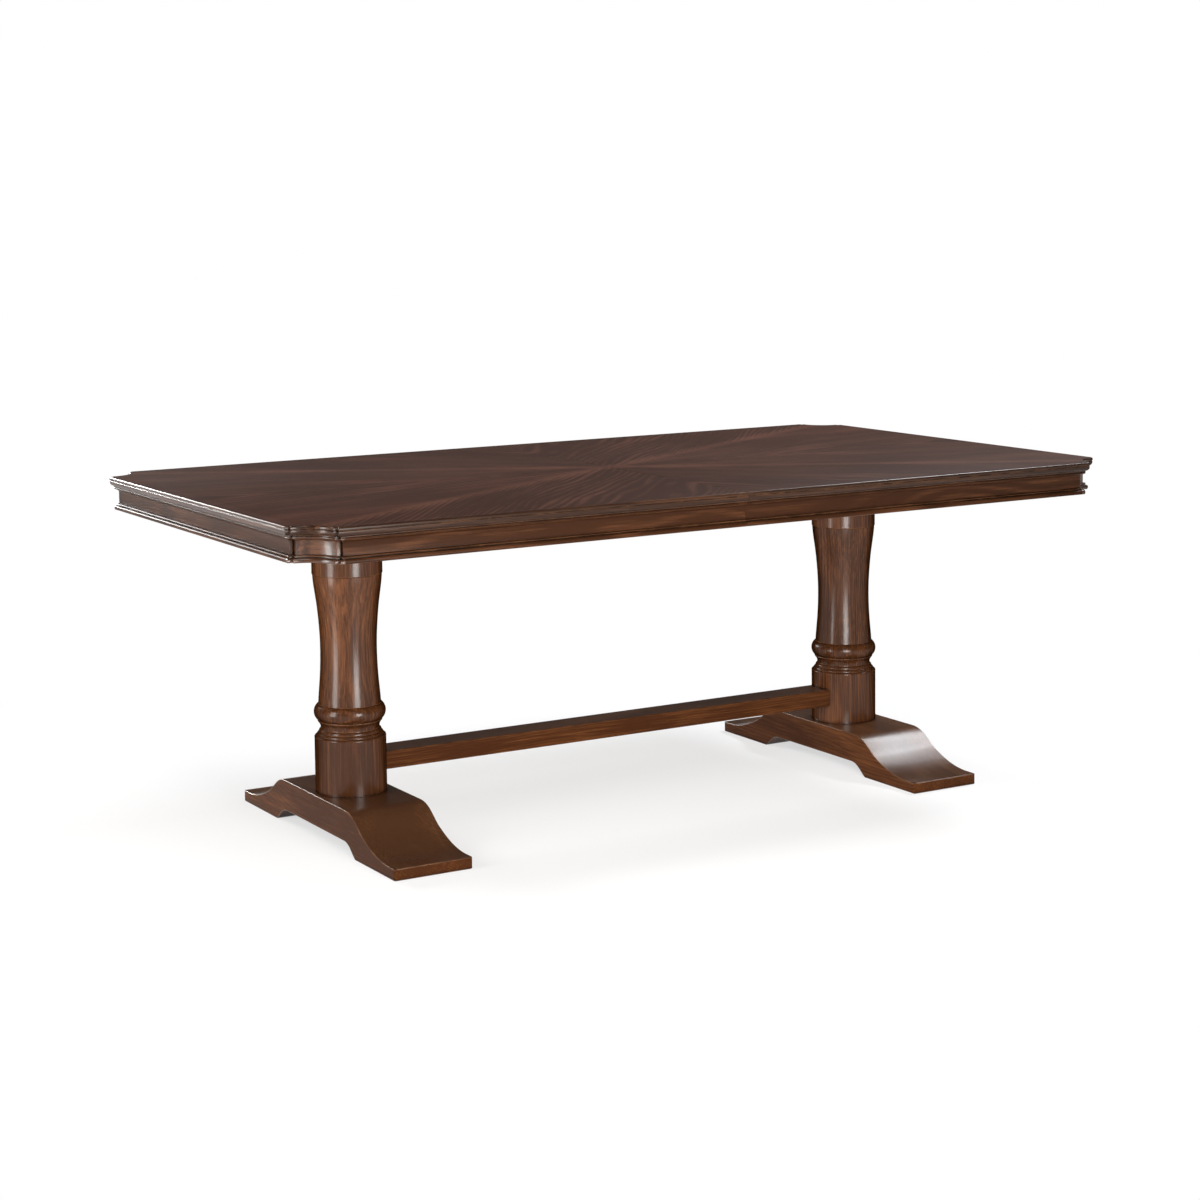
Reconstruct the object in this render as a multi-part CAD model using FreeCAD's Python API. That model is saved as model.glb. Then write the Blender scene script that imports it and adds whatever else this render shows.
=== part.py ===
import FreeCAD, Part
import math
import os

V = FreeCAD.Vector
x_axis = V(1, 0, 0)
z_axis = V(0, 0, 1)
half_turn = 180.0
full_turn = 360.0

# Overall size of the closed table
table_length = 2040.0
table_width = 1150.0
table_height = 762.0
seam_gap = 0.6
half_travel = 228.6

# Top panel with its scooped corners
panel_thickness = 22.0
corner_reach = 78.0
corner_step = 9.0
corner_lip = 8.0
panel_edge_inset = 7.0
panel_edge_shares = (
    (1.000, 1.000), (1.000, 0.900), (0.860, 0.885), (0.620, 0.850), (0.370, 0.790), (0.190, 0.710),
    (0.090, 0.620), (0.060, 0.400), (0.240, 0.385), (0.240, 0.345), (0.050, 0.320), (0.000, 0.255),
    (0.000, 0.160), (0.060, 0.085), (0.200, 0.030), (0.420, 0.000),
)

# Apron under the panel and the moulding along its foot
apron_height = 37.0
apron_thickness = 22.0
apron_face_inset = 16.0
cornice_reach = 8.6
cornice_height = 10.0
cornice_shares = (
    (0.00, 1.00), (0.10, 0.84), (0.32, 0.68), (0.60, 0.58), (0.64, 0.50), (0.84, 0.47),
    (0.97, 0.36), (1.00, 0.22), (0.94, 0.09), (0.80, 0.00),
)
moulding_height = 15.0
moulding_reach = 8.6
moulding_shares = (
    (0.80, 0.00), (0.93, 0.04), (0.99, 0.13), (1.00, 0.25), (0.98, 0.38), (0.90, 0.50), (0.76, 0.59),
    (0.60, 0.63), (0.26, 0.64), (0.26, 0.76), (0.50, 0.78), (0.56, 0.84), (0.48, 0.92), (0.16, 0.95),
    (0.00, 1.00),
)

# Blocks and battens that stiffen each half from inside
glue_block_leg = 22.0
glue_block_length = 70.0
glue_block_end_gap = 14.4
front_block_shares = (0.275, 0.625, 1.0)
end_block_shares = (-0.30, 0.0, 0.30)
batten_offset = 64.0
batten_width = 26.0
batten_height = 20.0
batten_end_gap = 11.1

# Geared slides, placed over the ends of the bearers
slide_setback = 190.0
centre_slide_width = 38.0
centre_slide_height = 47.0
centre_slide_overhang = 96.0
moving_slide_width = 30.0
moving_slide_drop = 47.5
moving_slide_tail = 300.0
moving_slide_end_gap = 8.0
tail_relief = 1.2
slide_gap = 0.6
tongue_height = 9.2
tongue_reach = 8.5
tongue_drop = 14.4
groove_play = 0.4

# Pinions and racks
gear_module = 2.5
pinion_teeth = 18
pressure_angle = 20.0
gear_backlash = 0.36
mesh_offset = 0.15
dedendum_share = 1.25
flank_steps = 5
pinion_thickness = 9.0
rack_height = 10.0
rack_back = 6.2
rack_drop = 30.0
rack_spare = 26.0
pinion_pin_radius = 5.0
pinion_pin_cover = 5.5
pin_play = 0.08
pocket_play = 0.75

# Pedestals
pedestal_spacing = 1328.0
foot_length = 796.0
foot_width = 180.0
foot_height = 97.0
toe_height = 25.0
toe_corner_radius = 6.0
foot_flat_share = 0.40
foot_fall_share = 0.62
foot_mid_height_share = 0.44
toe_flat_share = 0.93
arch_height = 29.0
pad_inner_share = 0.520
arch_flat_share = 0.380
drum_radius = 78.0
collar_radius = 76.8
collar_height = 93.1
joint_bevel = 1.2
spigot_radius = 30.0
spigot_length = 26.0
rod_radius = 6.0
rod_play = 0.5

# Turned outline of the pedestal, as shares of its height and of the drum radius
drum_share = 0.250
turning_shares = (
    ("bulge", (0.2570, 0.992), (0.2605, 0.966)),
    ("line", (0.2612, 0.934)),
    ("bulge", (0.2695, 0.926), (0.2742, 0.895)),
    ("line", (0.2750, 0.874)),
    ("bulge", (0.2845, 0.868), (0.2900, 0.840)),
    ("line", (0.2908, 0.822)),
    ("bulge", (0.3080, 0.831), (0.3255, 0.900)),
    ("line", (0.3300, 0.905)),
    ("line", (0.3310, 0.890)),
    ("bulge", (0.3700, 1.004), (0.4035, 0.910)),
    ("line", (0.4050, 0.877)),
)
shaft_shares = (
    (0.405, 0.877), (0.440, 0.862), (0.480, 0.840), (0.560, 0.804), (0.640, 0.789), (0.720, 0.797),
    (0.800, 0.829), (0.880, 0.880), (0.950, 0.940), (1.000, 0.969),
)

# Stretcher between the drums
stretcher_width = 76.0
stretcher_thickness = 40.0
stretcher_rise = 43.0
stretcher_edge = 1.5
tenon_width_share = 0.62
tenon_height_share = 0.55
tenon_depth = 38.0

# Bearers across the columns
bearer_end_margin = 35.0
bearer_width = 160.0
bearer_thickness = 22.0
bearer_end_cut = 12.0

# Bolts, nuts and screws
bolt_radius = 4.0
bolt_spacing = 128.0
bolt_reach_share = 0.45
hex_radius = 7.5
hex_height = 4.6
washer_radius = 9.0
washer_thickness = 1.2
rod_nut_radius = 10.6
rod_nut_height = 9.0
rod_washer_radius = 15.0
rod_washer_thickness = 2.0
rod_end_cover = 1.0
screw_radius = 2.5
screw_head_radius = 5.5
screw_head_height = 4.0
screw_sink = 6.0
screw_bite_share = 0.55
slide_screw_shares = (0.07, 0.46, 0.88)
slide_screw_offset_share = 0.74

# Catches under the seam and the dowels that line the halves up
latch_end_gap = 31.4
latch_setback = 32.0
latch_thickness = 3.0
latch_width = 20.0
latch_handle = 26.0
latch_drop = 3.6
latch_play = 0.4
latch_pivot_radius = 4.0
latch_head_radius = 7.5
latch_head_height = 3.4
stud_radius = 3.5
stud_head_radius = 4.2
stud_slot_width = 9.6
plate_thickness = 1.6
plate_length = 44.0
plate_width = 22.0
dowel_radius = 4.0
dowel_length = 28.0
dowel_play = 0.5
dowel_shares = (-0.06, -0.41)

# Heights and positions that follow from the sizes above
half_length = table_length / 2
half_width = table_width / 2
seam_x = seam_gap / 2
panel_base = table_height - panel_thickness
apron_base = panel_base - apron_height
moulding_base = apron_base - moulding_height
inner_inset = apron_face_inset + apron_thickness
pedestal_x = pedestal_spacing / 2
slide_base = panel_base - moving_slide_drop
centre_slide_base = slide_base - tail_relief * 2
bearer_base = centre_slide_base - bearer_thickness
joint_line_height = bearer_base - collar_height
turning_height = joint_line_height - foot_height
stretcher_base = foot_height + stretcher_rise
centre_half = centre_slide_width / 2
slide_face = centre_half + slide_gap
slide_offset = half_width - slide_setback
slide_inner_edge = slide_offset - slide_face - moving_slide_width
bearer_length = 2 * (slide_offset + bearer_end_margin)
pitch_radius = gear_module * pinion_teeth / 2
tooth_pitch = math.pi * gear_module
rack_base = panel_base - rack_drop - rack_height
rack_pitch_offset = pitch_radius + mesh_offset
rack_face = rack_pitch_offset + dedendum_share * gear_module
rack_rear = rack_face + rack_back
scoop_radius = corner_reach - corner_lip - corner_step
latch_top = panel_base - latch_drop
latch_base = latch_top - latch_thickness
edge_margin = table_width

parts = {}


def block(x0, y0, z0, x1, y1, z1):
    return Part.makeBox(x1 - x0, y1 - y0, z1 - z0, V(x0, y0, z0))


def rod(radius, x, y, z0, z1):
    return Part.makeCylinder(radius, z1 - z0, V(x, y, z0), z_axis)


def hexagon(radius, x, y, z0, z1):
    corners = []
    for k in range(7):
        angle = math.radians(full_turn * k / 6)
        corners.append(V(x + radius * math.cos(angle), y + radius * math.sin(angle), z0))
    return Part.Face(Part.makePolygon(corners)).extrude(V(0, 0, z1 - z0))


def along_x(points, x0, x1):
    corners = [V(x0, y, z) for y, z in points]
    corners.append(corners[0])
    return Part.Face(Part.makePolygon(corners)).extrude(V(x1 - x0, 0, 0))


def upright(points, z0, z1):
    corners = [V(x, y, z0) for x, y in points]
    corners.append(corners[0])
    return Part.Face(Part.makePolygon(corners)).extrude(V(0, 0, z1 - z0))


def turned(shape):
    copy = shape.copy()
    copy.rotate(V(0, 0, 0), z_axis, half_turn)
    return copy


# Outline of the right half at a given inset, with stepped and scooped corners
def half_outline(inset, z, seam):
    radius = scoop_radius + inset
    run = corner_step + math.sqrt(radius * radius - inset * inset)
    middle = corner_step + radius * math.sqrt(0.5)
    step = corner_step + inset
    reach = corner_reach + inset
    corner = [(reach, inset), (reach, step), (run, step), (middle, middle), (step, run), (step, reach)]
    corner.append((inset, reach))
    front = [V(half_length - u, v - half_width, z) for u, v in corner]
    back = [V(half_length - u, half_width - v, z) for u, v in reversed(corner)]
    first = V(seam, inset - half_width, z)
    last = V(seam, half_width - inset, z)
    edges = [Part.makeLine(first, front[0])]
    for side in (front, back):
        edges.append(Part.makeLine(side[0], side[1]))
        edges.append(Part.makeLine(side[1], side[2]))
        edges.append(Part.Arc(side[2], side[3], side[4]).toShape())
        edges.append(Part.makeLine(side[4], side[5]))
        edges.append(Part.makeLine(side[5], side[6]))
        if side is front:
            edges.append(Part.makeLine(side[6], back[0]))
    edges.append(Part.makeLine(back[6], last))
    edges.append(Part.makeLine(last, first))
    return Part.Wire(edges)


def moulded(levels, seam):
    wires = [half_outline(inset, z, seam) for inset, z in levels]
    return Part.makeLoft(wires, True, True)


def inner_prism(z0, z1):
    wire = half_outline(inner_inset, z0, -edge_margin)
    return Part.Face(wire).extrude(V(0, 0, z1 - z0))


# Ring pieces are parted where the straight runs meet the corner steps
def parted(ring, z0, z1):
    x_cut = half_length - corner_reach - apron_face_inset
    y_cut = half_width - corner_reach - apron_face_inset
    wide = edge_margin
    front = ring.common(block(0, -wide, z0, x_cut, 0, z1))
    back = ring.common(block(0, 0, z0, x_cut, wide, z1))
    end = ring.common(block(x_cut, -y_cut, z0, x_cut + wide, y_cut, z1))
    corner_front = ring.common(block(x_cut, -wide, z0, x_cut + wide, -y_cut, z1))
    corner_back = ring.common(block(x_cut, y_cut, z0, x_cut + wide, wide, z1))
    return front, back, end, Part.makeCompound([corner_front, corner_back])


# Top panel
panel_levels = [(panel_edge_inset * i, table_height - panel_thickness * d) for i, d in panel_edge_shares]
panel = moulded(panel_levels, seam_x)

# Apron ring with its cornice
apron_levels = [(apron_face_inset, apron_base), (apron_face_inset, panel_base - cornice_height)]
for reach_share, drop_share in cornice_shares[1:]:
    inset = apron_face_inset - cornice_reach * reach_share
    apron_levels.append((inset, panel_base - cornice_height * drop_share))
apron_ring = moulded(apron_levels, seam_x).cut(inner_prism(apron_base, panel_base))
apron_front, apron_back, apron_end, apron_corners = parted(apron_ring, apron_base, panel_base)

# Foot moulding ring
moulding_levels = []
for reach_share, height_share in moulding_shares:
    inset = apron_face_inset - moulding_reach * reach_share
    moulding_levels.append((inset, moulding_base + moulding_height * height_share))
moulding_ring = moulded(moulding_levels, seam_x).cut(inner_prism(moulding_base, apron_base))
moulding_runs = parted(moulding_ring, moulding_base, apron_base)
moulding_front, moulding_back, moulding_end, moulding_corners = moulding_runs

# Glue blocks along the inside of the apron
glue_blocks = []
inner_y = half_width - inner_inset
inner_x = half_length - inner_inset
last_block_x = inner_x - corner_reach - glue_block_length - glue_block_end_gap
for share in front_block_shares:
    x = last_block_x * share
    for side in (-1, 1):
        wall = side * inner_y
        near = side * (inner_y - glue_block_leg)
        corners = [(wall, panel_base), (near, panel_base), (wall, panel_base - glue_block_leg)]
        glue_blocks.append(along_x(corners, x, x + glue_block_length))
for share in end_block_shares:
    y = table_width * share / 2
    corners = [V(inner_x, y, panel_base), V(inner_x - glue_block_leg, y, panel_base)]
    corners.append(V(inner_x, y, panel_base - glue_block_leg))
    corners.append(corners[0])
    wedge = Part.Face(Part.makePolygon(corners)).extrude(V(0, glue_block_length, 0))
    wedge.translate(V(0, -glue_block_length / 2, 0))
    glue_blocks.append(wedge)

# Batten across the panel beside the seam
batten_half = slide_inner_edge - batten_end_gap
batten = block(batten_offset, -batten_half, panel_base - batten_height, batten_offset + batten_width,
               batten_half, panel_base)

# Moving slides, one outside and one inside the fixed slides
slide_end = half_length - inner_inset - moving_slide_end_gap
tongue_base = panel_base - tongue_drop - tongue_height
rack_line = [(slide_face, rack_base), (rack_rear, rack_base)]
rack_line += [(rack_rear, rack_base + rack_height), (slide_face, rack_base + rack_height)]
slide_line = [(slide_face, slide_base)] + rack_line + [
    (slide_face, tongue_base), (slide_face - tongue_reach - slide_gap, tongue_base),
    (slide_face - tongue_reach - slide_gap, tongue_base + tongue_height),
    (slide_face, tongue_base + tongue_height), (slide_face, panel_base),
    (slide_face + moving_slide_width, panel_base), (slide_face + moving_slide_width, slide_base),
]


# Rack with straight flanks, a tooth space centred on the pinion
def rack_points(centre):
    slope = math.tan(math.radians(pressure_angle))
    tip = rack_pitch_offset - gear_module
    half_tooth = tooth_pitch / 4 - gear_backlash / 4
    tip_half = half_tooth - gear_module * slope
    root_half = half_tooth + gear_module * dedendum_share * slope
    count = int(math.ceil((half_travel + rack_spare * 2) / tooth_pitch))
    first = -int(math.ceil((half_travel + rack_spare) / tooth_pitch))
    line = []
    for k in range(first, first + count):
        x = (k + 0.5) * tooth_pitch
        line += [(x - root_half, rack_face), (x - tip_half, tip)]
        line += [(x + tip_half, tip), (x + root_half, rack_face)]
    start = first * tooth_pitch
    stop = (first + count) * tooth_pitch
    line = [(start, rack_rear), (start, rack_face)] + line + [(stop, rack_face), (stop, rack_rear)]
    return [(x, centre + offset) for x, offset in line]


slides = {}
racks = {}
screws = []
tail_top = block(-moving_slide_tail, -edge_margin, panel_base - tail_relief, 0, edge_margin, panel_base)
for name, centre in (("front", -slide_offset), ("back", slide_offset)):
    points = [(centre + offset, z) for offset, z in slide_line]
    slide = along_x(points, -moving_slide_tail, slide_end).cut(tail_top)
    row = centre + slide_face + moving_slide_width * slide_screw_offset_share
    for share in slide_screw_shares:
        x = slide_end * share
        head_base = slide_base + screw_sink
        screw_tip = panel_base + panel_thickness * screw_bite_share
        head = rod(screw_head_radius, x, row, head_base, head_base + screw_head_height)
        screw = head.fuse(rod(screw_radius, x, row, head_base, screw_tip))
        well = rod(screw_head_radius, x, row, slide_base, head_base)
        slide = slide.cut(screw.fuse(well))
        panel = panel.cut(screw)
        screws.append(screw)
    slides[name] = slide
    racks[name] = upright(rack_points(centre), rack_base, rack_base + rack_height)

# Dowels on one side of the seam and their holes on the other
dowel_z = table_height - panel_thickness / 2
dowels = []
for share in dowel_shares:
    y = table_width * share
    dowel = Part.makeCylinder(dowel_radius, dowel_length, V(seam_x - dowel_length / 2, y, dowel_z), x_axis)
    panel = panel.cut(dowel)
    dowels.append(dowel)
    hole_length = dowel_length / 2 + dowel_play * 2
    hole = Part.makeCylinder(dowel_radius + dowel_play, hole_length, V(seam_x, -y, dowel_z), x_axis)
    panel = panel.cut(hole)

# Catch lever, drawn swung open along the seam, with a hook for the stud opposite
hook_radius = latch_setback * 2
pivot_y = slide_inner_edge - latch_end_gap - latch_width / 2 - hook_radius
lever = block(latch_setback - latch_width / 2, pivot_y, latch_base, latch_setback + latch_width / 2,
              pivot_y + hook_radius + latch_width / 2, latch_top)
lever = lever.fuse(rod(latch_width / 2, latch_setback, pivot_y, latch_base, latch_top))
grip = block(latch_setback - latch_width / 4, pivot_y - latch_handle, latch_base,
             latch_setback + latch_width / 4, pivot_y, latch_top)
lever = lever.fuse(grip)
lever = lever.cut(rod(latch_pivot_radius + latch_play, latch_setback, pivot_y, latch_base, latch_top))
slot_y = pivot_y + hook_radius
slot = rod(stud_slot_width / 2, latch_setback, slot_y, latch_base, latch_top)
mouth = block(latch_setback - latch_width, slot_y - stud_slot_width / 2, latch_base,
              latch_setback, slot_y + stud_slot_width / 2, latch_top)
latch = lever.cut(slot).cut(mouth).removeSplitter()

# Shouldered pivot screw of the lever and the stud plate that faces it
pivot_head_top = latch_base - latch_play
pivot_head_base = pivot_head_top - latch_head_height
pivot = rod(latch_pivot_radius, latch_setback, pivot_y, pivot_head_top, panel_base)
pivot = pivot.fuse(rod(latch_head_radius, latch_setback, pivot_y, pivot_head_base, pivot_head_top))
pivot = pivot.fuse(rod(latch_head_radius, latch_setback, pivot_y, latch_top + latch_play, panel_base))
stud_y = -pivot_y
plate = block(latch_setback - plate_width / 2, stud_y - plate_length / 2, panel_base - plate_thickness,
              latch_setback + plate_width / 2, stud_y + plate_length / 2, panel_base)
stud = rod(stud_radius, latch_setback, stud_y, pivot_head_top, panel_base)
stud_head = rod(stud_head_radius, latch_setback, stud_y, pivot_head_top - plate_thickness, pivot_head_top)
catch = Part.makeCompound([plate.cut(stud), stud.fuse(stud_head)])

# The right half, and the left half as the same pieces turned about the middle of the table
half_parts = {
    "top_panel": panel,
    "apron_front": apron_front,
    "apron_back": apron_back,
    "apron_end": apron_end,
    "apron_corners": apron_corners,
    "base_moulding_front": moulding_front,
    "base_moulding_back": moulding_back,
    "base_moulding_end": moulding_end,
    "base_moulding_corners": moulding_corners,
    "glue_blocks": Part.makeCompound(glue_blocks),
    "seam_batten": batten,
    "moving_slide_front": slides["front"],
    "moving_slide_back": slides["back"],
    "rack_front": racks["front"],
    "rack_back": racks["back"],
    "slide_screws": Part.makeCompound(screws),
    "seam_dowels": Part.makeCompound(dowels),
    "catch_lever": latch,
    "catch_pivot": pivot,
    "catch_stud": catch,
}
swapped = {"front": "back", "back": "front"}
for name, shape in half_parts.items():
    parts[name + "_right"] = shape
    words = [swapped.get(word, word) for word in name.split("_")]
    parts["_".join(words) + "_left"] = turned(shape)


# Pinion with involute teeth, one tooth pointing straight at each rack
def pinion_outline(y):
    base_radius = pitch_radius * math.cos(math.radians(pressure_angle))
    root_radius = pitch_radius - dedendum_share * gear_module
    outer_radius = pitch_radius + gear_module
    involute = math.tan(math.radians(pressure_angle)) - math.radians(pressure_angle)
    half_tooth = math.pi / (2 * pinion_teeth) - gear_backlash / (4 * pitch_radius)
    flank = [(root_radius, half_tooth + involute)]
    for k in range(flank_steps):
        radius = base_radius + (outer_radius - base_radius) * k / (flank_steps - 1)
        roll = math.acos(base_radius / radius)
        flank.append((radius, half_tooth + involute - math.tan(roll) + roll))
    line = []
    for tooth in range(pinion_teeth):
        centre = math.pi / 2 + 2 * math.pi * tooth / pinion_teeth
        for radius, spread in flank:
            line.append((radius * math.cos(centre - spread), y + radius * math.sin(centre - spread)))
        for radius, spread in reversed(flank):
            line.append((radius * math.cos(centre + spread), y + radius * math.sin(centre + spread)))
    return line


# Fixed slides with side grooves, a pocket for the pinion and its pin
groove_side = centre_half - tongue_reach - groove_play
groove_base = tongue_base - groove_play
groove_top = tongue_base + tongue_height + groove_play
centre_top = centre_slide_base + centre_slide_height
centre_line = [(-centre_half, centre_slide_base), (centre_half, centre_slide_base)]
centre_line += [(centre_half, groove_base), (groove_side, groove_base), (groove_side, groove_top)]
centre_line += [(centre_half, groove_top), (centre_half, centre_top), (-centre_half, centre_top)]
centre_line += [(-centre_half, groove_top), (-groove_side, groove_top), (-groove_side, groove_base)]
centre_line += [(-centre_half, groove_base)]
centre_reach = pedestal_x + centre_slide_overhang
pinion_base = rack_base + (rack_height - pinion_thickness) / 2
pinion_top = pinion_base + pinion_thickness
pocket_half = pitch_radius + gear_module + pocket_play * 2
rod_top = bearer_base + bearer_thickness - rod_end_cover
bolt_top = centre_slide_base + centre_slide_height * bolt_reach_share
bearer_bolts = {-1: [], 1: []}
bearer_wells = {-1: [], 1: []}
for name, y in (("front", -slide_offset), ("back", slide_offset)):
    points = [(y + offset, z) for offset, z in centre_line]
    slide = along_x(points, -centre_reach, centre_reach)
    slide = slide.cut(block(-pocket_half, y - centre_half, pinion_base - pocket_play,
                            pocket_half, y + centre_half, pinion_top + pocket_play))
    pin = rod(pinion_pin_radius, 0, y, centre_slide_base, pinion_top + pinion_pin_cover)
    slide = slide.cut(pin)
    for side in (-1, 1):
        for offset in (-bolt_spacing / 2, bolt_spacing / 2):
            x = side * pedestal_x + offset
            shank = rod(bolt_radius, x, y, bearer_base, bolt_top)
            slide = slide.cut(shank)
            washer = rod(washer_radius, x, y, bearer_base - washer_thickness, bearer_base)
            head = hexagon(hex_radius, x, y, bearer_base - washer_thickness - hex_height,
                           bearer_base - washer_thickness)
            bearer_bolts[side].append(shank.fuse(washer).fuse(head))
            bearer_wells[side].append(shank)
    parts["fixed_slide_" + name] = slide
    parts["pinion_pin_" + name] = pin
    pinion_bore = rod(pinion_pin_radius + pin_play, 0, y, pinion_base, pinion_top)
    parts["pinion_" + name] = upright(pinion_outline(y), pinion_base, pinion_top).cut(pinion_bore)


# Foot drawn from the side: ogee above, arch below
def foot_shape():
    reach = foot_length / 2
    flat = reach * foot_flat_share
    fall = reach * foot_fall_share
    toe = reach * toe_flat_share
    pad = reach * pad_inner_share
    arch = reach * arch_flat_share
    mid_height = toe_height + (foot_height - toe_height) * foot_mid_height_share
    slope = -(foot_height - toe_height) / (toe - flat) * math.sqrt(2)
    edges = []
    for side in (-1, 1):
        crown = V(0, side * flat, foot_height)
        hollow = V(0, side * toe, toe_height)
        upper = Part.BSplineCurve()
        upper.interpolate(
            Points=[crown, V(0, side * fall, mid_height), hollow],
            Tangents=[V(0, side, 0), V(0, side, slope), V(0, side, 0)],
            TangentFlags=[True, True, True],
        )
        edges.append(upper.toShape())
        edges.append(Part.makeLine(hollow, V(0, side * reach, toe_height)))
        edges.append(Part.makeLine(V(0, side * reach, toe_height), V(0, side * reach, 0)))
        edges.append(Part.makeLine(V(0, side * reach, 0), V(0, side * pad, 0)))
        lower = Part.BSplineCurve()
        lower.interpolate(
            Points=[V(0, side * pad, 0), V(0, side * arch, arch_height)],
            Tangents=[V(0, -side, arch_height / (pad - arch)), V(0, -side, 0)],
            TangentFlags=[True, True],
        )
        edges.append(lower.toShape())
    edges.append(Part.makeLine(V(0, -flat, foot_height), V(0, flat, foot_height)))
    edges.append(Part.makeLine(V(0, -arch, arch_height), V(0, arch, arch_height)))
    wire = Part.Wire(Part.__sortEdges__(edges))
    solid = Part.Face(wire).extrude(V(foot_width, 0, 0))
    solid.translate(V(-foot_width / 2, 0, 0))
    uprights = []
    for edge in solid.Edges:
        box = edge.BoundBox
        if box.ZLength > toe_height / 2 and box.YLength < toe_height / 8 and box.YMax ** 2 > toe ** 2:
            uprights.append(edge)
    return solid.makeFillet(toe_corner_radius, uprights)


# Turned pedestal profile from the foot up to the joint line
def turned_profile():
    def spot(pair):
        height_share, radius_share = pair
        return V(drum_radius * radius_share, 0, foot_height + turning_height * height_share)

    low = V(spigot_radius, 0, foot_height - spigot_length)
    start = V(drum_radius, 0, foot_height)
    here = V(drum_radius, 0, foot_height + turning_height * drum_share)
    edges = [Part.makeLine(V(0, 0, low.z), low), Part.makeLine(low, V(spigot_radius, 0, foot_height))]
    edges.append(Part.makeLine(V(spigot_radius, 0, foot_height), start))
    edges.append(Part.makeLine(start, here))
    for step in turning_shares:
        if step[0] == "line":
            edges.append(Part.makeLine(here, spot(step[1])))
        else:
            edges.append(Part.Arc(here, spot(step[1]), spot(step[2])).toShape())
        here = spot(step[-1])
    shaft = Part.BSplineCurve()
    shaft.interpolate([spot(pair) for pair in shaft_shares])
    edges.append(shaft.toShape())
    here = spot(shaft_shares[-1])
    bevel = V(here.x - joint_bevel, 0, here.z)
    top = V(spigot_radius, 0, here.z + spigot_length)
    edges.append(Part.makeLine(here, bevel))
    edges.append(Part.makeLine(bevel, V(spigot_radius, 0, here.z)))
    edges.append(Part.makeLine(V(spigot_radius, 0, here.z), top))
    edges.append(Part.makeLine(top, V(0, 0, top.z)))
    edges.append(Part.makeLine(V(0, 0, top.z), V(0, 0, low.z)))
    return Part.Wire(edges)


# Stretcher coped against both drums, with a stub tenon at each end
stretcher_top = stretcher_base + stretcher_thickness
bar = block(-pedestal_x, -stretcher_width / 2, stretcher_base,
            pedestal_x, stretcher_width / 2, stretcher_top)
long_edges = [edge for edge in bar.Edges if edge.BoundBox.XLength > pedestal_x]
bar = bar.makeChamfer(stretcher_edge, long_edges)
tenon_half = stretcher_width * tenon_width_share / 2
tenon_rise = stretcher_thickness * tenon_height_share
tenon_base = stretcher_base + (stretcher_thickness - tenon_rise) / 2
tenon_x = pedestal_x - drum_radius + tenon_depth
tenon_bar = block(-tenon_x, -tenon_half, tenon_base, tenon_x, tenon_half, tenon_base + tenon_rise)
for side in (-1, 1):
    bar = bar.cut(rod(drum_radius, side * pedestal_x, 0, 0, joint_line_height))
parts["stretcher"] = bar.fuse(tenon_bar).removeSplitter()

# Foot, column, collar, bearer and tie rod of each pedestal
column = Part.Face(turned_profile()).revolve(V(0, 0, 0), z_axis, full_turn)
collar_base = joint_line_height
collar = Part.makeCylinder(collar_radius, bearer_base - collar_base, V(0, 0, collar_base), z_axis)
collar_rim = [edge for edge in collar.Edges if edge.BoundBox.ZMax < collar_base + joint_bevel]
collar = collar.makeChamfer(joint_bevel, collar_rim)
spigot_top = joint_line_height + spigot_length
collar = collar.cut(rod(spigot_radius, 0, 0, collar_base, spigot_top))
foot = foot_shape().cut(rod(spigot_radius, 0, 0, foot_height - spigot_length, foot_height))
bearer = block(-bearer_width / 2, -bearer_length / 2, bearer_base, bearer_width / 2, bearer_length / 2,
               bearer_base + bearer_thickness)
end_edges = []
for edge in bearer.Edges:
    box = edge.BoundBox
    across = box.XLength > bearer_width / 2
    low = box.ZMax < bearer_base + bearer_thickness / 2
    if across and low:
        end_edges.append(edge)
bearer = bearer.makeChamfer(bearer_end_cut, end_edges)
nut_room = rod_washer_thickness + rod_nut_height + rod_end_cover
low_seat = arch_height + nut_room
high_seat = bearer_base + bearer_thickness - nut_room
bore = rod(rod_radius + rod_play, 0, 0, 0, table_height)
low_well = rod(rod_washer_radius + rod_play, 0, 0, 0, low_seat)
high_well = rod(rod_washer_radius + rod_play, 0, 0, high_seat, table_height)
tie = rod(rod_radius, 0, 0, arch_height + rod_end_cover, rod_top)
tie = tie.fuse(rod(rod_washer_radius, 0, 0, low_seat - rod_washer_thickness, low_seat))
tie = tie.fuse(hexagon(rod_nut_radius, 0, 0, low_seat - rod_washer_thickness - rod_nut_height,
                       low_seat - rod_washer_thickness))
tie = tie.fuse(rod(rod_washer_radius, 0, 0, high_seat, high_seat + rod_washer_thickness))
tie = tie.fuse(hexagon(rod_nut_radius, 0, 0, high_seat + rod_washer_thickness,
                       high_seat + rod_washer_thickness + rod_nut_height))
for name, side in (("left", -1), ("right", 1)):
    place = V(side * pedestal_x, 0, 0)
    pieces = {
        "foot": foot.cut(bore).cut(low_well),
        "column": column.cut(bore),
        "collar": collar.cut(bore),
        "bearer": bearer.cut(bore).cut(high_well),
        "tie_rod": tie,
    }
    for piece, shape in pieces.items():
        moved = shape.copy()
        moved.translate(place)
        parts[piece + "_" + name] = moved
    parts["column_" + name] = parts["column_" + name].cut(tenon_bar)
    for well in bearer_wells[side]:
        parts["bearer_" + name] = parts["bearer_" + name].cut(well)
    parts["slide_bolts_" + name] = Part.makeCompound(bearer_bolts[side])

os.makedirs("parts", exist_ok=True)
for name, shape in parts.items():
    shape.exportStep("parts/" + name + ".step")
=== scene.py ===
import math

import bpy
from mathutils import Matrix, Vector


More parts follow.
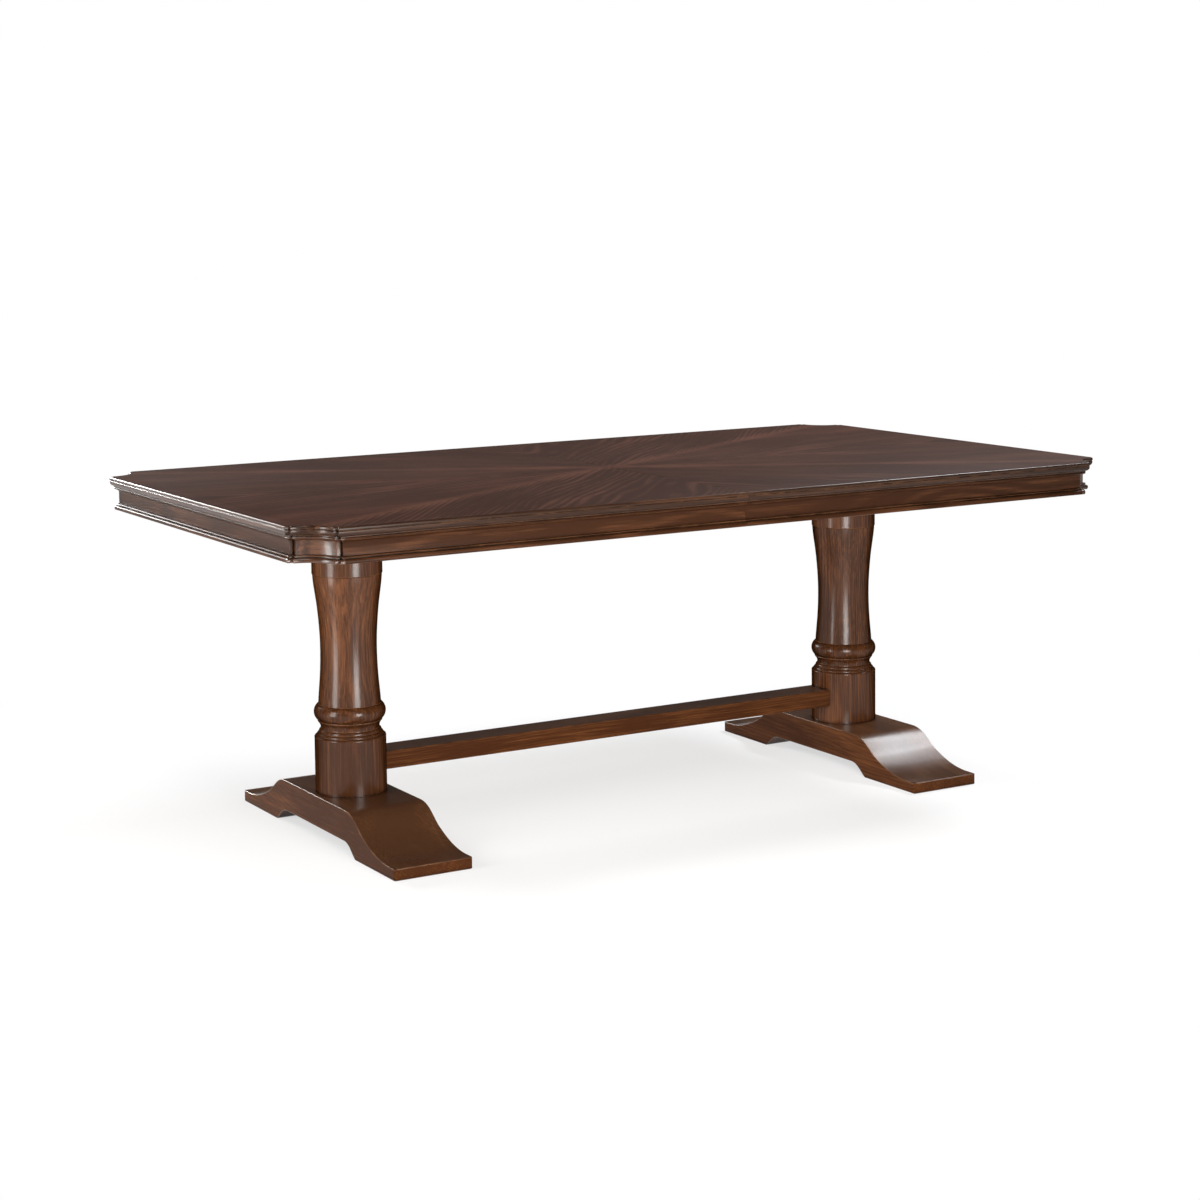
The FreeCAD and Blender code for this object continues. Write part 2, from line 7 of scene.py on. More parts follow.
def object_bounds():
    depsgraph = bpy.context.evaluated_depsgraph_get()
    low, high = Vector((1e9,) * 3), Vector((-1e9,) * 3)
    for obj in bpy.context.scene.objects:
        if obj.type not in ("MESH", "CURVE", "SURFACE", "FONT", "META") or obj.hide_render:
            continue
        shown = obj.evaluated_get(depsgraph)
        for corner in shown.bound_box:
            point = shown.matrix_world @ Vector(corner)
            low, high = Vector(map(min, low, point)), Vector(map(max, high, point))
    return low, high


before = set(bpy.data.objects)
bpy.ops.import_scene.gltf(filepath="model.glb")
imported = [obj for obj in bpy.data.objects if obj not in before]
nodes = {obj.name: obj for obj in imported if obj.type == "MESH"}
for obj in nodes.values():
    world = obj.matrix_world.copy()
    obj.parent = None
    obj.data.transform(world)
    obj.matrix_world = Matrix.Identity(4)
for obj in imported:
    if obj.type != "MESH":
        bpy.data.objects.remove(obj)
cad_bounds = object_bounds()

# Camera at the photograph's viewing angle, in metres, degrees and millimetres of lens
camera_place = (-2.8647, -4.8177, 1.3966)
camera_yaw = -30.539
camera_pitch = -5.362
camera_roll = -0.639
camera_lens = 73.587
camera_sensor = 36.0
camera_drop_share = -0.15
camera_reach = 240.0

# Floor and background: shares and levels, where 1 is white, distances in metres, heights in degrees
floor_reach = 60.0
floor_albedo = 0.96
floor_bounce_albedo = 0.24
floor_stretch = (0.75, 1.0, 1.0)
near_glow_share = 0.62
shadow_reach = (0.75, 1.9)
background_level = 1.0
ambient_level = 0.05
upper_level = 0.06
horizon_top = 1.0
gradient_end = 3.0

# Softboxes: azimuth from +Y towards +X, elevation, distance, width, height, radiance, colour
softboxes = {
    "left": (-97.7, 4.5, 2.25, 0.5, 1.2, 12.0, (1.0, 0.98, 0.95)),
    "front": (-168.0, 3.5, 2.4, 0.8, 1.1, 20.0, (1.0, 0.98, 0.95)),
    "front_left": (-150.0, 42.0, 4.8, 2.4, 2.0, 4.6, (1.0, 0.99, 0.97)),
    "back_left": (-19.0, 13.0, 5.5, 1.5, 0.6, 75.0, (1.0, 1.0, 1.0)),
    "back_right": (81.0, 46.5, 5.0, 2.4, 0.8, 31.0, (0.93, 0.96, 1.0)),
    "overhead": (0.0, 89.0, 3.6, 3.0, 2.4, 0.9, (1.0, 1.0, 1.0)),
}
aim_height = 0.45

# Edge softening by family, in metres, and smooth shading
edge_softening = {
    "panel": 0.0009, "trim": 0.0004, "turned": 0.0007, "base": 0.0018, "plain": 0.0008, "steel": 0.0003,
}
softening_segments = 2
smooth_angle = 38.0
weld_distance = 0.000005

# How far up a face looks before it counts as a level or a sloped top
flat_share = 0.93
sloped_share = 0.60

# Top veneer: leaves that fan out from the middle of the table, in metres and radians
half_length = cad_bounds[1].x
half_width = cad_bounds[1].y
leaf_angle = math.atan2(half_width, half_length)
fan_angle_share = 0.42
joint_width = 0.0007
joint_dark_share = 0.62
sapwood_reach = 0.040
sapwood_tone = 0.22
# Painted shade: how much darker the side leaves are, for the different sheen of their grain direction
side_leaf_painted_shade = 0.06
fan_seed = 4.0

# Grain: how often each pattern repeats per metre, first along the grain and then across it, and where
# across the grain the pith of the log lies, in metres
drift_rate = (1.3, 5, 5)
cloud_rate = (2.2, 8, 8)
fibre_rate = (16, 620, 620)
pore_rate = (55, 1300, 1300)
streak_rate = 2.6
streak_rate_across = 85
cloud_distortion = 0.4
streak_roughness = 0.62
fibre_roughness = 0.6
fibre_weight = 0.22
pith_side = -0.21
pith_height = 0.58
ring_drift = 0.11
tone_range = (0.30, 0.78)
tone_places = (0.06, 0.40, 0.62, 0.95)
pore_range = (0.60, 0.72)
seed_spread = 37.0

# Painted crevice shade, edge wear with a painted edge highlight, painted rim shade and sheen: reach in
# metres, scales in patches per metre
painted_crevice_reach = 0.012
painted_crevice_range = (0.35, 0.92)
painted_crevice_samples = 6
facing_blend = 0.5
# Painted rim shade: how far towards the silhouette round pieces are darkened
painted_rim_range = (0.30, 0.95)
sheen_range = (0.12, 0.60)
# Edge wear with a painted highlight: how far bevelled edges are lightened
edge_wear_and_highlight = 0.35
wear_and_highlight_scale = 28.0
wear_and_highlight_range = (0.42, 0.62)
least_wear_and_highlight_share = 0.25
smudge_scale = 5.0
smudge_gloss = 0.12
fibre_gloss = 0.08
pore_relief = -0.8
lacquer_index = 1.5

# Zinc-plated steel
steel_roughness = 0.34
steel_spot_scale = 160.0
steel_dark_share = 0.78
steel_places = (0.3, 0.7)
steel_gloss = 0.22
steel_bump = 0.00003

# Display colours to linear light
display_levels = 255
linear_end = 0.04045
linear_slope = 12.92
curve_offset = 0.055
curve_power = 2.4


def linear(red, green, blue):
    """A display colour, 0 to 255, as linear light with alpha."""
    values = []
    for share in (red / display_levels, green / display_levels, blue / display_levels):
        if share <= linear_end:
            values.append(share / linear_slope)
        else:
            values.append(((share + curve_offset) / (1 + curve_offset)) ** curve_power)
    return (*values, 1.0)


# Palettes: dark streaks, main colour, warm colour, light streaks
top_tones = (linear(61, 38, 29), linear(95, 62, 49), linear(110, 74, 58), linear(130, 92, 73))
trim_tones = (linear(56, 32, 18), linear(94, 59, 38), linear(110, 72, 47), linear(142, 100, 70))
base_tones = (linear(72, 40, 21), linear(127, 78, 44), linear(142, 90, 54), linear(160, 108, 70))
foot_top_tones = (linear(70, 44, 28), linear(114, 76, 50), linear(128, 88, 60), linear(148, 106, 76))
nose_tones = (linear(46, 26, 14), linear(76, 48, 30), linear(92, 60, 38), linear(120, 84, 58))
turned_tones = (linear(63, 35, 18), linear(127, 78, 46), linear(147, 94, 57), linear(172, 119, 78))
plain_tones = (linear(120, 88, 58), linear(160, 124, 86), linear(176, 140, 100), linear(196, 164, 124))
steel_colour = linear(176, 176, 172)


class Graph:
    """The node tree of one material or world, built by short calls."""

    def __init__(self, owner):
        owner.use_nodes = True
        self.tree = owner.node_tree
        self.tree.nodes.clear()

    def feed(self, socket, value):
        if isinstance(value, bpy.types.NodeSocket):
            self.tree.links.new(value, socket)
        else:
            socket.default_value = value

    def add(self, kind, values=None, **settings):
        node = self.tree.nodes.new(kind)
        for name, value in settings.items():
            setattr(node, name, value)
        for name, value in (values or {}).items():
            self.feed(node.inputs[name], value)
        return node

    def math(self, operation, *values, clamp=False):
        node = self.add("ShaderNodeMath", dict(enumerate(values)), operation=operation, use_clamp=clamp)
        return node.outputs[0]

    def vector(self, operation, *values):
        node = self.add("ShaderNodeVectorMath", dict(enumerate(values)), operation=operation)
        return node.outputs["Value" if operation == "LENGTH" else "Vector"]

    def split(self, vector):
        return self.add("ShaderNodeSeparateXYZ", {0: vector}).outputs

    def join(self, *parts):
        return self.add("ShaderNodeCombineXYZ", dict(enumerate(parts))).outputs[0]

    def stretch(self, vector, scale, turn=0.0):
        node = self.add("ShaderNodeMapping", {"Vector": vector, "Rotation": (0, 0, turn), "Scale": scale})
        return node.outputs["Vector"]

    def noise(self, vector, scale=1.0, detail=2.0, seed=0.0, roughness=0.5, distortion=0.0):
        values = {"Vector": vector, "W": seed, "Scale": scale, "Detail": detail,
                  "Roughness": roughness, "Distortion": distortion}
        return self.add("ShaderNodeTexNoise", values, noise_dimensions="4D").outputs["Fac"]

    def remap(self, value, low, high, to_low=0.0, to_high=1.0):
        values = {"Value": value, "From Min": low, "From Max": high, "To Min": to_low, "To Max": to_high}
        return self.add("ShaderNodeMapRange", values, interpolation_type="SMOOTHSTEP").outputs["Result"]

    def ramp(self, value, stops):
        node = self.add("ShaderNodeValToRGB", {"Fac": value})
        elements = node.color_ramp.elements
        while len(elements) < len(stops):
            elements.new(1.0)
        for element, (place, colour) in zip(elements, stops):
            element.position = place
            element.color = colour
        return node.outputs["Color"]

    def mix(self, data_type, factor, first, second):
        """A blend of two numbers, vectors or colours."""
        node = self.add("ShaderNodeMix", data_type=data_type)
        sockets = [socket for socket in node.inputs if socket.enabled]
        for socket, value in zip(sockets, (factor, first, second)):
            self.feed(socket, value)
        return next(socket for socket in node.outputs if socket.enabled)

    def scaled(self, colour, amount):
        return self.add("ShaderNodeVectorMath", {0: colour, "Scale": amount}, operation="SCALE").outputs[0]

    def bump(self, height, distance):
        values = {"Height": height, "Distance": distance, "Strength": 1.0}
        return self.add("ShaderNodeBump", values).outputs[0]

    def output(self, shader, world=False):
        kind = "ShaderNodeOutputWorld" if world else "ShaderNodeOutputMaterial"
        self.add(kind, {"Surface": shader})

    def seen_directly(self):
        """1 for camera, glossy and transmission rays, else 0."""
        path = self.add("ShaderNodeLightPath").outputs
        first = self.math("MAXIMUM", path["Is Camera Ray"], path["Is Glossy Ray"])
        return self.math("MAXIMUM", first, path["Is Transmission Ray"])


def own_space(graph):
    """Position in the frame, in metres, which stays with the piece when it moves."""
    return graph.add("ShaderNodeTexCoord").outputs["Object"]


def mirrored_space(graph):
    """How far from the middle along and across the table, and the height."""
    parts = graph.split(own_space(graph))
    return graph.math("ABSOLUTE", parts[0]), graph.math("ABSOLUTE", parts[1]), parts[2]


def piece_seed(graph):
    """A number that differs from piece to piece, so that no two boards match."""
    random = graph.add("ShaderNodeObjectInfo").outputs["Random"]
    return graph.math("MULTIPLY", random, seed_spread)


def board_space(graph, axis):
    """Coordinates whose X runs along the grain of a board."""
    parts = graph.split(own_space(graph))
    order = {"x": (0, 1, 2), "y": (1, 0, 2), "z": (2, 0, 1)}[axis]
    return graph.join(*(parts[k] for k in order))


def corner_space(graph):
    """Coordinates whose X runs along the scoop of a corner block."""
    across, deep, height = mirrored_space(graph)
    along = graph.math("MULTIPLY", graph.math("SUBTRACT", across, deep), math.sqrt(0.5))
    outward = graph.math("MULTIPLY", graph.math("ADD", across, deep), math.sqrt(0.5))
    return graph.join(along, outward, height)


def fan_space(graph):
    """Coordinates of the matched leaves, X along the grain, and where the joints between them are."""
    across, deep, height = mirrored_space(graph)
    folded = graph.join(across, deep, height)
    lean = leaf_angle * fan_angle_share
    end_leaf = graph.stretch(folded, (1, 1, 1), -lean)
    side_leaf = graph.stretch(folded, (1, -1, 1), 2 * leaf_angle - lean)
    rise = graph.math("MULTIPLY", deep, math.cos(leaf_angle))
    run = graph.math("MULTIPLY", across, math.sin(leaf_angle))
    off_diagonal = graph.math("SUBTRACT", rise, run)
    on_side = graph.math("GREATER_THAN", off_diagonal, 0.0)
    off_diagonal = graph.math("ABSOLUTE", off_diagonal)
    off_joint = graph.math("MINIMUM", off_diagonal, graph.math("MINIMUM", across, deep))
    return graph.mix("VECTOR", on_side, end_leaf, side_leaf), off_diagonal, off_joint, on_side


def wood_tone(graph, grain, seed, ring_pitch, cloud, streak, fineness, ring):
    """Lightness of the wood, 0 to 1, and the fine fibre pattern that its bump uses."""
    drift = graph.noise(graph.stretch(grain, drift_rate), detail=2, seed=seed)
    parts = graph.split(grain)
    sideways = graph.math("SUBTRACT", parts[1], pith_side)
    upwards = graph.math("SUBTRACT", parts[2], pith_height)
    from_pith = graph.vector("LENGTH", graph.join(0.0, sideways, upwards))
    depth = graph.math("ADD", from_pith, graph.math("MULTIPLY", drift, ring_drift))
    turns = graph.math("MULTIPLY", depth, 2 * math.pi / ring_pitch)
    rings = graph.math("MULTIPLY_ADD", graph.math("SINE", turns), 0.5, 0.5)
    narrow = streak_rate_across * fineness
    streaks = graph.noise(graph.stretch(grain, (streak_rate, narrow, narrow)), detail=4, seed=seed,
                          roughness=streak_roughness)
    fibres = graph.noise(graph.stretch(grain, fibre_rate), detail=3, seed=seed, roughness=fibre_roughness)
    clouds = graph.noise(graph.stretch(grain, cloud_rate), detail=3, seed=seed, distortion=cloud_distortion)
    total = graph.math("MULTIPLY", rings, ring)
    for part, weight in ((streaks, streak), (fibres, fibre_weight), (clouds, cloud)):
        total = graph.math("MULTIPLY_ADD", part, weight, total)
    return graph.remap(total, *tone_range), fibres


def pore_marks(graph, grain, seed):
    """Short dark dashes along the grain, 1 in a pore."""
    dashes = graph.noise(graph.stretch(grain, pore_rate), detail=1, seed=seed)
    return graph.remap(dashes, *pore_range)


def leaf_tone(graph, tone, off_diagonal, on_side):
    """The tone of the matched leaves, with pale sapwood along the diagonals and the side leaves darkened as
    painted shade for the sheen that their grain direction loses.
    """
    tone = graph.math("ADD", tone, graph.remap(off_diagonal, 0.0, sapwood_reach, sapwood_tone, 0.0))
    return graph.math("SUBTRACT", tone, graph.math("MULTIPLY", on_side, side_leaf_painted_shade), clamp=True)


def joint_shade(graph, off_joint):
    """1 on a leaf, less on the joints between the leaves."""
    return graph.remap(off_joint, joint_width / 2, joint_width, joint_dark_share, 1.0)


def painted_crevice_shade(graph, painted_crevice_depth):
    """1 in the open, less in crevices and joins, as painted shade where ambient occlusion finds the wood
    hemmed in.
    """
    reach = {"Distance": painted_crevice_reach}
    openness = graph.add("ShaderNodeAmbientOcclusion", reach, samples=painted_crevice_samples).outputs["AO"]
    return graph.remap(openness, *painted_crevice_range, 1.0 - painted_crevice_depth, 1.0)


def painted_rim_shade_and_sheen(graph, rim_painted_shade):
    """How much colour and how much sheen a round piece keeps towards its silhouette; the colour is darkened
    there as painted shade.
    """
    facing = graph.add("ShaderNodeLayerWeight", {"Blend": facing_blend}).outputs["Facing"]
    return graph.remap(facing, *painted_rim_range, 1.0, 1.0 - rim_painted_shade), graph.remap(facing, *sheen_range, 1.0, 0.0)


def worn_and_highlit_patches(graph, seed, wear_and_highlight):
    """How far each patch of an edge is lightened to the lightest tone, partly real wear and partly a painted
    edge highlight.
    """
    patch = graph.noise(own_space(graph), scale=wear_and_highlight_scale, detail=3, seed=seed)
    return graph.remap(patch, *wear_and_highlight_range, least_wear_and_highlight_share * wear_and_highlight, wear_and_highlight)


def uneven_roughness(graph, roughness, fibres, seed):
    """Roughness with faint smudges and a little of the fibre pattern."""
    smudge = graph.noise(own_space(graph), scale=smudge_scale, detail=3, seed=seed)
    smudged = graph.math("MULTIPLY_ADD", smudge, smudge_gloss, roughness - smudge_gloss / 2)
    return graph.math("MULTIPLY_ADD", fibres, fibre_gloss, smudged)


def finished_wood(name, axis, tones, roughness, specular, painted_crevice_depth, coat=0.0, coat_roughness=0.14, wear_and_highlight=0.0,
                  pore=0.30, bump=0.00006, cloud=0.34, streak=0.40, fineness=1.0, ring_pitch=0.011, ring=0.10,
                  rim_painted_shade=0.0):
    """Stained and lacquered wood whose grain runs along an axis, round a corner or fanned over the top."""
    material = bpy.data.materials.new(name)
    graph = Graph(material)
    fanned = axis == "fan"
    seed = fan_seed if fanned else piece_seed(graph)
    if fanned:
        grain, off_diagonal, off_joint, on_side = fan_space(graph)
    elif axis == "corner":
        grain = corner_space(graph)
    else:
        grain = board_space(graph, axis)
    tone, fibres = wood_tone(graph, grain, seed, ring_pitch, cloud, streak, fineness, ring)
    if fanned:
        tone = leaf_tone(graph, tone, off_diagonal, on_side)
    pores = pore_marks(graph, grain, seed)
    colour = graph.ramp(tone, list(zip(tone_places, tones)))
    colour = graph.scaled(colour, graph.math("MULTIPLY_ADD", pores, -pore, 1.0))
    if fanned:
        colour = graph.scaled(colour, joint_shade(graph, off_joint))
    # Painted shade: darker in crevices, grooves and joins, from ambient occlusion
    if painted_crevice_depth:
        colour = graph.scaled(colour, painted_crevice_shade(graph, painted_crevice_depth))
    # Painted shade: round pieces turn darker towards their silhouettes, lighter where they face the view
    if rim_painted_shade:
        shade, sheen = painted_rim_shade_and_sheen(graph, rim_painted_shade)
        colour = graph.scaled(colour, shade)
        coat = graph.math("MULTIPLY", sheen, coat)
        specular = graph.math("MULTIPLY", sheen, specular)
    # Edges lightened towards the lightest tone: partly real wear, partly a painted edge highlight
    if wear_and_highlight:
        colour = graph.mix("RGBA", worn_and_highlit_patches(graph, seed, wear_and_highlight), colour, tones[-1])
    relief = graph.math("MULTIPLY_ADD", pores, pore_relief, fibres)
    shader = graph.add("ShaderNodeBsdfPrincipled", {
        "Base Color": colour, "Roughness": uneven_roughness(graph, roughness, fibres, seed),
        "Normal": graph.bump(relief, bump), "IOR": lacquer_index, "Specular IOR Level": specular,
        "Coat Weight": coat, "Coat Roughness": coat_roughness,
    })
    graph.output(shader.outputs[0])
    return material


def plated_steel():
    """Zinc-plated steel with faint mottling."""
    material = bpy.data.materials.new("steel")
    graph = Graph(material)
    spots = graph.noise(own_space(graph), scale=steel_spot_scale, detail=3, seed=piece_seed(graph))
    dark = (*(steel_dark_share * level for level in steel_colour[:3]), 1.0)
    tint = graph.ramp(spots, list(zip(steel_places, (dark, steel_colour))))
    gloss = graph.math("MULTIPLY_ADD", spots, steel_gloss, steel_roughness - steel_gloss / 2)
    shader = graph.add("ShaderNodeBsdfPrincipled", {
        "Base Color": tint, "Metallic": 1.0, "Roughness": gloss, "Normal": graph.bump(spots, steel_bump),
    })
    graph.output(shader.outputs[0])
    return material


# Finishes: the tones and the settings of each
fine_streaks = dict(cloud=0.18, streak=0.26, fineness=1.8)
close_rings = dict(ring_pitch=0.006, ring=0.03)
looks = {
    "top": dict(tones=top_tones, roughness=0.58, specular=0.10, painted_crevice_depth=0.0, cloud=0.30, streak=0.19),
    "trim": dict(tones=trim_tones, roughness=0.28, specular=0.07, painted_crevice_depth=0.92, **fine_streaks),
    "nose": dict(tones=nose_tones, roughness=0.24, specular=0.16, painted_crevice_depth=0.92, coat=0.20,
                 coat_roughness=0.16, bump=0.00002, **fine_streaks),
    "end_nose": dict(tones=trim_tones, roughness=0.34, specular=0.16, painted_crevice_depth=0.90, coat=0.42,
                     coat_roughness=0.24, bump=0.000002, **fine_streaks),
    "corner": dict(tones=trim_tones, roughness=0.24, specular=0.50, painted_crevice_depth=0.65, coat=0.10,
                   coat_roughness=0.10, cloud=0.20, streak=0.30, fineness=1.6),
    "foot_top": dict(tones=foot_top_tones, roughness=0.26, specular=0.20, painted_crevice_depth=0.80, coat=0.18,
                     coat_roughness=0.16, cloud=0.42, streak=0.16, fineness=1.4, pore=0.10, **close_rings),
    "base": dict(tones=base_tones, roughness=0.24, specular=0.04, painted_crevice_depth=0.80, cloud=0.36, streak=0.22,
                 fineness=2.4, pore=0.20, **close_rings),
    "turned": dict(tones=turned_tones, roughness=0.30, specular=0.08, painted_crevice_depth=0.90, coat=0.42,
                   coat_roughness=0.19, cloud=0.34, streak=0.24, fineness=2.8, pore=0.28, rim_painted_shade=0.65,
                   **close_rings),
    "plain": dict(tones=plain_tones, roughness=0.62, specular=0.25, painted_crevice_depth=0.25, bump=0.00012),
}

# Nodes of one finish: the look, its grain and how far the edges are softened
node_looks = {
    "apron": ("trim", "x", "trim"),
    "apron_end": ("trim", "y", "trim"),
    "apron_corners": ("corner", "corner", "trim"),
    "base_moulding": ("trim", "x", "trim"),
    "base_moulding_end": ("trim", "y", "trim"),
    "base_moulding_corners": ("corner", "corner", "trim"),
    "column": ("turned", "z", "turned"),
    "collar": ("turned", "z", "turned"),
    "bearer": ("plain", "y", "plain"),
    "seam_batten": ("plain", "y", "plain"),
    "glue_blocks": ("plain", "x", "trim"),
    "seam_dowels": ("plain", "x", "trim"),
    "moving_slide": ("plain", "x", "plain"),
    "fixed_slide": ("plain", "x", "plain"),
}

# Nodes of several finishes: look and grain facing up, along Y, along X and down, then on the worn edges,
# which are lightened partly as real wear and partly as a painted highlight
sided_looks = {
    "top_panel": (("top", "fan"), ("nose", "x"), ("end_nose", "y"), ("plain", "x"), ("nose", "x")),
    "foot": (("foot_top", "y"), ("base", "y"), ("base", "y"), ("base", "y"), ("foot_top", "y")),
    "stretcher": (("foot_top", "x"), ("base", "x"), ("base", "x"), ("base", "x"), ("base", "x")),
}
sided_softening = {"top_panel": "panel", "foot": "base", "stretcher": "plain"}
sided_rise_shares = {"top_panel": flat_share, "foot": sloped_share, "stretcher": sloped_share}
facing_y_place = 1
underside_place = 3
made = {}


def wood_pair(look, axis):
    """The finish of a look and axis, with its worn-edge partner, whose lighter edges are partly real wear and
    partly a painted highlight.
    """
    key = look + "_" + axis
    if key not in made:
        made[key] = (finished_wood(key, axis, **looks[look]),
                     finished_wood(key + "_edge", axis, wear_and_highlight=edge_wear_and_highlight, **looks[look]))
    return made[key]


class Geometry:
    """A node group that changes the geometry it is given, built by short calls."""

    def __init__(self, name):
        self.group = bpy.data.node_groups.new(name, "GeometryNodeTree")
        for side in ("INPUT", "OUTPUT"):
            self.group.interface.new_socket("Geometry", in_out=side, socket_type="NodeSocketGeometry")
        self.flow = self.group.nodes.new("NodeGroupInput").outputs[0]

    def add(self, kind, values=None, **settings):
        node = self.group.nodes.new(kind)
        for name, value in settings.items():
            setattr(node, name, value)
        for name, value in (values or {}).items():
            if isinstance(value, bpy.types.NodeSocket):
                self.group.links.new(value, node.inputs[name])
            else:
                node.inputs[name].default_value = value
        return node

    def math(self, operation, first, second=0.0):
        return self.add("ShaderNodeMath", {0: first, 1: second}, operation=operation).outputs[0]

    def step(self, kind, values=None, **settings):
        """A node that the geometry passes through."""
        node = self.add(kind, {"Geometry": self.flow, **(values or {})}, **settings)
        self.flow = node.outputs["Geometry"]

    def done(self):
        self.add("NodeGroupOutput", {0: self.flow})
        return self.group


def smooth_group():
    """Welds the facets of a node and shades them smooth up to an angle."""
    group = Geometry("smooth_by_angle")
    group.step("GeometryNodeRemoveAttribute", {"Name": "custom_normal"})
    group.step("GeometryNodeMergeByDistance", {"Distance": weld_distance})
    angle = group.add("GeometryNodeInputMeshEdgeAngle").outputs["Unsigned Angle"]
    limit = math.radians(smooth_angle)
    gentle = group.add("FunctionNodeCompare", {0: angle, 1: limit}, operation="LESS_THAN")
    group.step("GeometryNodeSetShadeSmooth", domain="FACE")
    group.step("GeometryNodeSetShadeSmooth", {"Shade Smooth": gentle.outputs[0]}, domain="EDGE")
    return group.done()


def side_group(name, rise_share):
    """Gives faces a finish by the way they face: up, along Y, along X, down."""
    group = Geometry(name)
    normal = group.add("GeometryNodeInputNormal").outputs[0]
    parts = group.add("ShaderNodeSeparateXYZ", {0: normal}).outputs
    up = group.math("GREATER_THAN", parts[2], rise_share)
    down = group.math("LESS_THAN", parts[2], -rise_share)
    endways = group.math("GREATER_THAN", group.math("ABSOLUTE", parts[0]), group.math("ABSOLUTE", parts[1]))
    index = group.math("ADD", endways, facing_y_place)
    index = group.math("MULTIPLY", index, group.math("SUBTRACT", 1.0, up))
    index = group.math("MAXIMUM", index, group.math("MULTIPLY", down, underside_place))
    group.step("GeometryNodeSetMaterialIndex", {"Material Index": index})
    return group.done()


def dress(node, materials, softening, siding=None):
    """Puts finishes on a CAD node and softens its edges, leaving its mesh as it is."""
    slots = node.data.materials
    slots.clear()
    for material in materials:
        slots.append(material)
    node.modifiers.new("smooth", "NODES").node_group = smoothing
    if siding:
        node.modifiers.new("sides", "NODES").node_group = siding
    bevel = node.modifiers.new("soften", "BEVEL")
    bevel.width = edge_softening[softening]
    bevel.segments = softening_segments
    bevel.limit_method = "ANGLE"
    bevel.angle_limit = math.radians(smooth_angle)
    bevel.use_clamp_overlap = False
    bevel.harden_normals = True
    bevel.material = len(materials) - 1


def family(name):
    """The longest start of a node's name that has a finish of its own, or nothing for a steel piece."""
    words = name.split("_")
    while words:
        kind = "_".join(words)
        if kind in node_looks or kind in sided_looks:
            return kind
        words.pop()
    return None


smoothing = smooth_group()
sidings = {kind: side_group(kind + "_sides", share) for kind, share in sided_rise_shares.items()}
steel = plated_steel()
for name, node in nodes.items():
    kind = family(name)
    if kind in sided_looks:
        *sides, edge = sided_looks[kind]
        finishes = [wood_pair(*side)[0] for side in sides] + [wood_pair(*edge)[1]]
        dress(node, finishes, sided_softening[kind], sidings[kind])
    elif kind:
        look, axis, softening = node_looks[kind]
        dress(node, wood_pair(look, axis), softening)
    else:
        dress(node, (steel,), "steel")


def make_floor():
    """A white floor that keeps the shadow of the table and fades into the background."""
    mesh = bpy.data.meshes.new("floor")
    corners = [(-floor_reach, -floor_reach, 0), (floor_reach, -floor_reach, 0),
               (floor_reach, floor_reach, 0), (-floor_reach, floor_reach, 0)]
    mesh.from_pydata(corners, [], [(0, 1, 2, 3)])
    floor = bpy.data.objects.new("floor", mesh)
    bpy.context.scene.collection.objects.link(floor)
    material = bpy.data.materials.new("floor")
    graph = Graph(material)
    albedo = graph.mix("FLOAT", graph.seen_directly(), floor_bounce_albedo, floor_albedo)
    matt = graph.add("ShaderNodeBsdfDiffuse", {"Color": albedo})
    distance = graph.vector("LENGTH", graph.vector("MULTIPLY", own_space(graph), floor_stretch))
    share = graph.remap(distance, *shadow_reach, near_glow_share, 1.0)
    plain_share = graph.math("MULTIPLY", share, graph.seen_directly())
    glow = graph.add("ShaderNodeEmission", {"Strength": background_level})
    both = graph.add("ShaderNodeMixShader", {0: plain_share, 1: matt.outputs[0], 2: glow.outputs[0]})
    graph.output(both.outputs[0])
    mesh.materials.append(material)


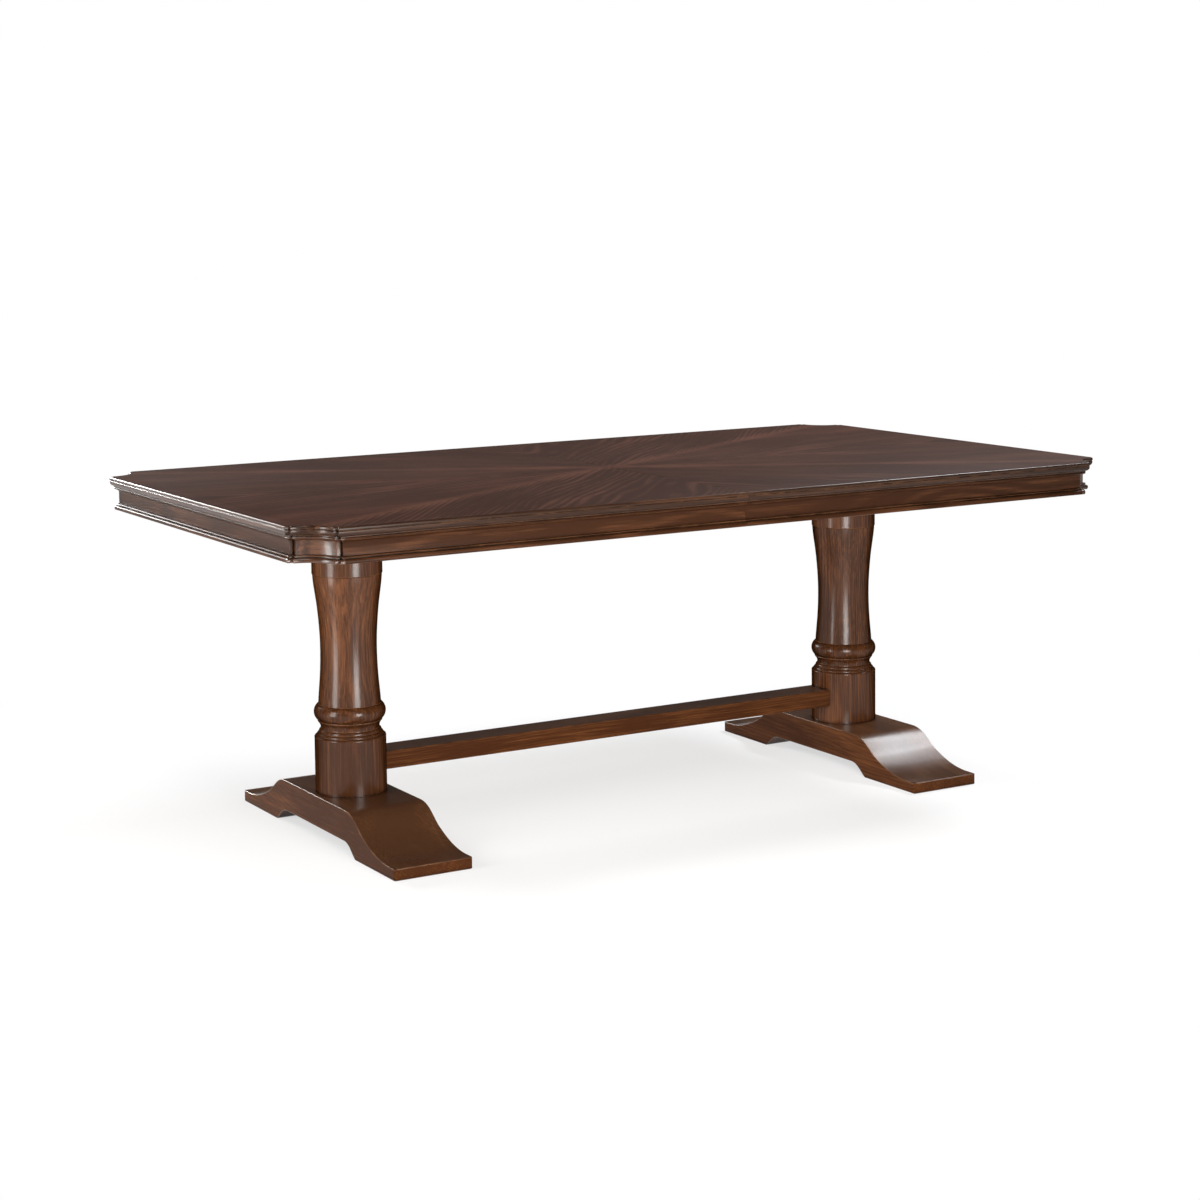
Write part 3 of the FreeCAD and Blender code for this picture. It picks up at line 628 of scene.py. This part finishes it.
def make_world():
    """White to the camera, and a soft horizon that gets darker with height in reflections."""
    world = bpy.data.worlds.new("studio")
    bpy.context.scene.world = world
    graph = Graph(world)
    direction = graph.add("ShaderNodeTexCoord").outputs["Generated"]
    height = graph.split(direction)[2]
    low = math.sin(math.radians(horizon_top))
    high = math.sin(math.radians(gradient_end))
    mirrored = graph.remap(height, low, high, background_level, upper_level)
    mirrored = graph.mix("FLOAT", graph.seen_directly(), ambient_level, mirrored)
    camera_ray = graph.add("ShaderNodeLightPath").outputs["Is Camera Ray"]
    level = graph.mix("FLOAT", camera_ray, mirrored, background_level)
    background = graph.add("ShaderNodeBackground", {"Color": (1, 1, 1, 1), "Strength": level})
    graph.output(background.outputs[0], world=True)


def make_softbox(name, azimuth, elevation, distance, width, height, radiance, colour):
    """A rectangular lamp that looks at the middle of the table and that the camera doesn't see."""
    light = bpy.data.lights.new(name, "AREA")
    light.shape = "RECTANGLE"
    light.size = width
    light.size_y = height
    light.energy = radiance * math.pi * width * height
    light.color = colour
    lamp = bpy.data.objects.new(name, light)
    bpy.context.scene.collection.objects.link(lamp)
    turn = math.radians(azimuth)
    tilt = math.radians(elevation)
    away = Vector((math.sin(turn) * math.cos(tilt), math.cos(turn) * math.cos(tilt), math.sin(tilt)))
    lamp.location = Vector((0, 0, aim_height)) + away * distance
    lamp.rotation_mode = "QUATERNION"
    lamp.rotation_quaternion = away.to_track_quat("Z", "Y")
    lamp.visible_camera = False


def make_camera():
    """The photograph's view, its lens shifted so that uprights stay nearly parallel."""
    data = bpy.data.cameras.new("camera")
    data.sensor_width = camera_sensor
    data.lens = camera_lens
    data.shift_y = camera_drop_share
    data.clip_end = camera_reach
    camera = bpy.data.objects.new("camera", data)
    bpy.context.scene.collection.objects.link(camera)
    yaw, pitch, roll = (math.radians(a) for a in (camera_yaw, camera_pitch, camera_roll))
    ahead = Vector((math.sin(-yaw) * math.cos(pitch), math.cos(yaw) * math.cos(pitch), math.sin(pitch)))
    right = ahead.cross(Vector((0, 0, 1))).normalized()
    up = right.cross(ahead)
    level_right = right * math.cos(roll) + up * math.sin(roll)
    level_up = up * math.cos(roll) - right * math.sin(roll)
    turn = Matrix((level_right, level_up, -ahead)).transposed()
    camera.matrix_world = Matrix.Translation(camera_place) @ turn.to_4x4()
    bpy.context.scene.camera = camera


make_floor()
make_world()
for name, settings in softboxes.items():
    make_softbox(name, *settings)
make_camera()
bpy.context.scene.view_settings.view_transform = "Standard"
